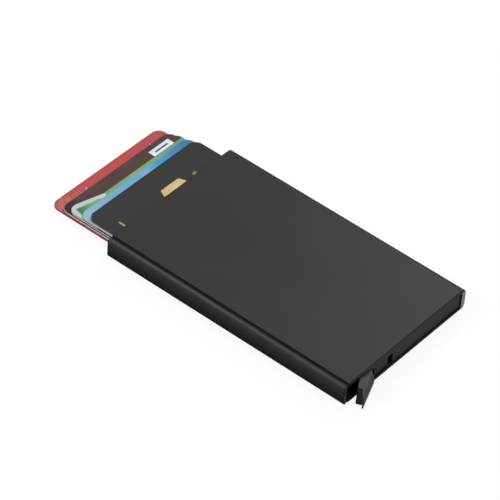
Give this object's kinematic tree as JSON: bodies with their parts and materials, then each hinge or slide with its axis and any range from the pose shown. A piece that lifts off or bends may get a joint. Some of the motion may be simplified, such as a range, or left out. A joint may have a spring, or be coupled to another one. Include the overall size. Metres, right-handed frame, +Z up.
{
  "type": "pop-up card holder",
  "caption": "Slim metal card case, open at one end, whose thumb lever swings out and fans a stack of bank cards from the mouth in steps.",
  "frame": {"origin": "centre of the case's flat underside", "axes": "+X from the card mouth to the lever end, -Y towards the grooved side with the lever's tip, +Z up through the stack of cards"},
  "size_m": [0.1334, 0.0626, 0.0084],
  "materials": {
    "shell": "black anodised aluminium with a fine matt surface",
    "cap": "moulded black plastic",
    "liner": "moulded black plastic",
    "felt": "black felt",
    "steel": "bright steel",
    "lever": "moulded black plastic, satin",
    "arm": "moulded black plastic",
    "gold": "gold foil",
    "white": "white label",
    "red_card": "printed gloss plastic, red",
    "brown_card": "printed gloss plastic, dark brown",
    "green_card": "printed gloss plastic, green band on a dark end",
    "blue_card": "printed gloss plastic, light to strong blue",
    "black_card": "printed satin plastic, black"
  },
  "bodies": {
    "case": {"card_shell": "shell", "end_cap": "cap", "hinge_block": "cap", "pivot_pin": "steel", "near_side_liner": "liner", "far_side_liner": "liner", "near_felt_strip": "felt", "far_felt_strip": "felt", "block_screw": "steel", "cap_screw": "steel"},
    "lever": {"thumb_lever": "lever", "ejector_arm": "arm", "arm_dowel": "steel"},
    "red_card_body": {"red_card": "red_card"},
    "brown_card_body": {"brown_card": "brown_card"},
    "green_card_body": {"green_card": "green_card", "white_label": "white"},
    "blue_card_body": {"blue_card": "blue_card"},
    "black_card_body": {"black_card": "black_card", "gold_bar": "gold"}
  },
  "joints": [
    {"name": "lever_swing", "type": "hinge", "parent": "case", "child": "lever", "pos_m": [0.0475, -0.0171, 0.0042], "axis": [0, 0, 1], "range_deg": [-22, 0]},
    {"name": "red_card_slide", "type": "slide", "parent": "case", "child": "red_card_body", "axis": [-1, 0, 0], "range_m": [-0.0294, 0]},
    {"name": "brown_card_slide", "type": "slide", "parent": "case", "child": "brown_card_body", "axis": [-1, 0, 0], "range_m": [-0.0249, 0]},
    {"name": "green_card_slide", "type": "slide", "parent": "case", "child": "green_card_body", "axis": [-1, 0, 0], "range_m": [-0.0218, 0]},
    {"name": "blue_card_slide", "type": "slide", "parent": "case", "child": "blue_card_body", "axis": [-1, 0, 0], "range_m": [-0.0167, 0]},
    {"name": "black_card_slide", "type": "slide", "parent": "case", "child": "black_card_body", "axis": [-1, 0, 0], "range_m": [-0.0132, 0]}
  ],
  "couplings": [
    {"joint": "lever_swing", "follows": "red_card_slide", "rad_per_m": 13.06},
    {"joint": "brown_card_slide", "follows": "red_card_slide", "ratio": 0.84694},
    {"joint": "green_card_slide", "follows": "red_card_slide", "ratio": 0.7415},
    {"joint": "blue_card_slide", "follows": "red_card_slide", "ratio": 0.56803},
    {"joint": "black_card_slide", "follows": "red_card_slide", "ratio": 0.44898}
  ]
}
